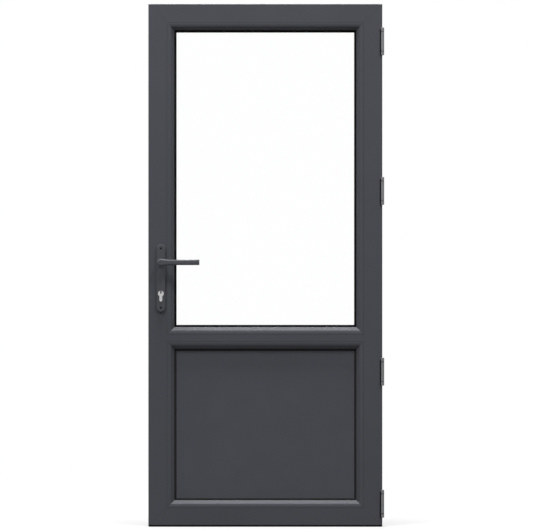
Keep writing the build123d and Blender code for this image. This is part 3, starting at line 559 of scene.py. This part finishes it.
def clear_glass(slot):
    """Clear float glass, greener at the rim of the pane."""
    flow, shader = new_finish(slot, transmission_weight=1.0, ior=1.5)
    low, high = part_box("glass_front_pane")
    x, _, z = axes(flow)
    to_side = (x - low.x).smaller(high.x - x)
    to_end = (z - low.z).smaller(high.z - z)
    rim = to_side.smaller(to_end) < rim_width
    film = noise(flow, film_size, 3.0)
    feed(shader, "Base Color", tint(flow, rim, clear_tint, rim_tint))
    feed(shader, "Roughness", film * film * 0.012)


clear_glass("clear_glass")
print("finishes:", sorted(made_finishes))

# %% [markdown]
# ## Put the finishes on the solids
# The record says which slot each node takes, so one loop dresses the whole model. A slot that has no
# finish is a mistake, and the loop stops there.

# %% Dress the nodes
for name, piece in nodes.items():
    finish = made_finishes[slot_of_node[name]]
    for index in range(len(piece.material_slots)):
        piece.material_slots[index].material = finish
print("dressed:", len(nodes), "nodes with", len(made_finishes), "finishes")

# %% [markdown]
# ## Small repeats with Geometry Nodes
# Two small things repeat on this door: a black strip of painted shadow beside each hinge barrel, and
# the row of breathing slots that dries the air between the panes. Both are one short rounded bar set
# down many times, so they share a recipe: an outline with round corners is swept a little way, and
# the bar is put on every point of some lines, lengthwise along its line. The bar stands up on the side
# that `tangent x Side` points to. Nothing is random, so there is no seed.

# %% Bars along lines
corner_steps = 3


def bar_tree(name, material, spread):
    """A node group that sets bars on the corners of lines, or evenly along them if `spread`."""
    tree = bpy.data.node_groups.new(name, "GeometryNodeTree")
    sockets = tree.interface
    sockets.new_socket("Lines", in_out="INPUT", socket_type="NodeSocketGeometry")
    for size in ("Length", "Width", "Thickness", "Corner", "Pitch"):
        sockets.new_socket(size, in_out="INPUT", socket_type="NodeSocketFloat")
    sockets.new_socket("Side", in_out="INPUT", socket_type="NodeSocketVector")
    sockets.new_socket("Bars", in_out="OUTPUT", socket_type="NodeSocketGeometry")
    given = {socket.name: Flow(tree, socket) for socket in tree.nodes.new("NodeGroupInput").outputs}
    flow = Flow(tree)

    flat = {"Width": given["Length"], "Height": given["Width"]}
    outline = flow.add("GeometryNodeCurvePrimitiveQuadrilateral", inputs=flat)
    corners = {"Curve": outline, "Count": corner_steps, "Radius": given["Corner"], "Limit Radius": True}
    outline = flow.add("GeometryNodeFilletCurve", mode="POLY", inputs=corners)
    far_end = flow.add("ShaderNodeCombineXYZ", inputs={"Z": given["Thickness"]})
    sweep = flow.add("GeometryNodeCurvePrimitiveLine", inputs={"End": far_end})
    solid = {"Curve": sweep, "Profile Curve": outline, "Fill Caps": True}
    bar = flow.add("GeometryNodeCurveToMesh", inputs=solid)

    places = flow.add("GeometryNodeMeshToCurve", inputs={"Mesh": given["Lines"]})
    if spread:
        even = {"Curve": places, "Length": given["Pitch"]}
        places = flow.add("GeometryNodeResampleCurve", mode="LENGTH", inputs=even)
    along = flow.add("GeometryNodeInputTangent")
    crossed = {0: along, 1: given["Side"]}
    facing = flow.add("ShaderNodeVectorMath", operation="CROSS_PRODUCT", inputs=crossed)
    lengthwise = flow.add("FunctionNodeAlignRotationToVector", axis="X", inputs={"Vector": along})
    upright = {"Rotation": lengthwise, "Vector": facing}
    turned = flow.add("FunctionNodeAlignRotationToVector", axis="Z", pivot_axis="X", inputs=upright)
    setting = {"Points": places, "Instance": bar, "Rotation": turned}
    bars = flow.add("GeometryNodeInstanceOnPoints", inputs=setting)
    real = flow.add("GeometryNodeRealizeInstances", inputs={"Geometry": bars})
    dressed = flow.add("GeometryNodeSetMaterial", inputs={"Geometry": real, "Material": material})
    flow.add("NodeGroupOutput", inputs={"Bars": dressed})
    return tree


print("bar recipe ready")

# %% [markdown]
# ## From a node tree to a plain mesh
# The lines are a mesh of edges with the tree as a modifier. Its sizes are set by the sockets'
# identifiers before the first evaluation. The result is kept as a plain mesh and the modifier goes,
# because an export drops instances.

# %% Run a tree
def set_bars(name, tree, corners, lines, sizes, body):
    """Run a bar tree on some lines, keep the result as a plain mesh and let it ride on a body."""
    mesh = bpy.data.meshes.new(name)
    mesh.from_pydata(corners, lines, [])
    piece = bpy.data.objects.new(name, mesh)
    bpy.context.scene.collection.objects.link(piece)
    modifier = piece.modifiers.new("bars", "NODES")
    modifier.node_group = tree
    for socket in tree.interface.items_tree:
        if socket.name in sizes:
            modifier[socket.identifier] = sizes[socket.name]
    evaluated = piece.evaluated_get(bpy.context.evaluated_depsgraph_get())
    result = bpy.data.meshes.new_from_object(evaluated)
    piece.modifiers.remove(modifier)
    piece.data = result
    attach(piece, body)
    print(name, "faces:", len(result.polygons), "size:", [round(v, 4) for v in piece.dimensions])


print("bar maker ready")

# %% [markdown]
# ## Hinge shadow strips
# A black strip flat on the leaf's face beside each hinge barrel is painted shadow: the barrel stands
# in front of the face and its shade falls beside it and a little below, so each strip sits a little
# lower than its hinge. One line runs down through the four strips' middles, and its corners are where
# the strips go.

# %% Hinge shadow strips
shadow_strip_length, shadow_strip_width, shadow_strip_thickness, shadow_strip_corner = 0.099, 0.0056, 0.001, 0.0008
shadow_strip_tuck = 0.0014
shadow_strip_drop = 0.0045
shadow_strip_places = []
for hinge in hinges:
    low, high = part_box(hinge + "_hinge_leaf_plate")
    # painted shadow: a thin black rubber strip where each barrel's shade falls on the leaf
    shadow_strip_x = low.x + shadow_strip_tuck - shadow_strip_width / 2
    shadow_strip_places.append((shadow_strip_x, leaf_face_y, (low.z + high.z) / 2 - shadow_strip_drop))
shadow_strip_line = [(index, index + 1) for index in range(len(hinges) - 1)]
shadow_strip_sizes = {"Length": shadow_strip_length, "Width": shadow_strip_width, "Thickness": shadow_strip_thickness, "Corner": shadow_strip_corner}
shadow_strip_sizes["Side"] = (1.0, 0.0, 0.0)
shadow_strip_tree = bar_tree("hinge_shadow_strips", made_finishes["seal_rubber"], spread=False)
set_bars("hinge_shadow_strips", shadow_strip_tree, shadow_strip_places, shadow_strip_line, shadow_strip_sizes, "leaf")

# %% [markdown]
# ## Breathing slots
# The spacer between the panes is a hollow bar full of drying grains, and fine slots along its inner
# faces let the air in. Four lines go round its inner faces, in the order in which the slots face the
# middle of the pane, and stop short of the corners.

# %% Breathing slots
slot_length, slot_width, slot_height, slot_corner = 0.005, 0.0009, 0.00012, 0.0004
slot_pitch = 0.012
end_margin = 0.012
spacer_bar = 0.007
spacer_low, spacer_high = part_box("glass_spacer")
spacer_y = (spacer_low.y + spacer_high.y) / 2
left, right = spacer_low.x + spacer_bar, spacer_high.x - spacer_bar
bottom, top = spacer_low.z + spacer_bar, spacer_high.z - spacer_bar
slot_ends = [
    (left, spacer_y, top - end_margin), (left, spacer_y, bottom + end_margin),
    (left + end_margin, spacer_y, bottom), (right - end_margin, spacer_y, bottom),
    (right, spacer_y, bottom + end_margin), (right, spacer_y, top - end_margin),
    (right - end_margin, spacer_y, top), (left + end_margin, spacer_y, top),
]
slot_lines = [(0, 1), (2, 3), (4, 5), (6, 7)]
slot_sizes = {"Length": slot_length, "Width": slot_width, "Thickness": slot_height, "Corner": slot_corner}
slot_sizes["Pitch"] = slot_pitch
slot_sizes["Side"] = (0.0, 1.0, 0.0)
slot_tree = bar_tree("breathing_slots", made_finishes["seal_rubber"], spread=True)
set_bars("breathing_slots", slot_tree, slot_ends, slot_lines, slot_sizes, "leaf")
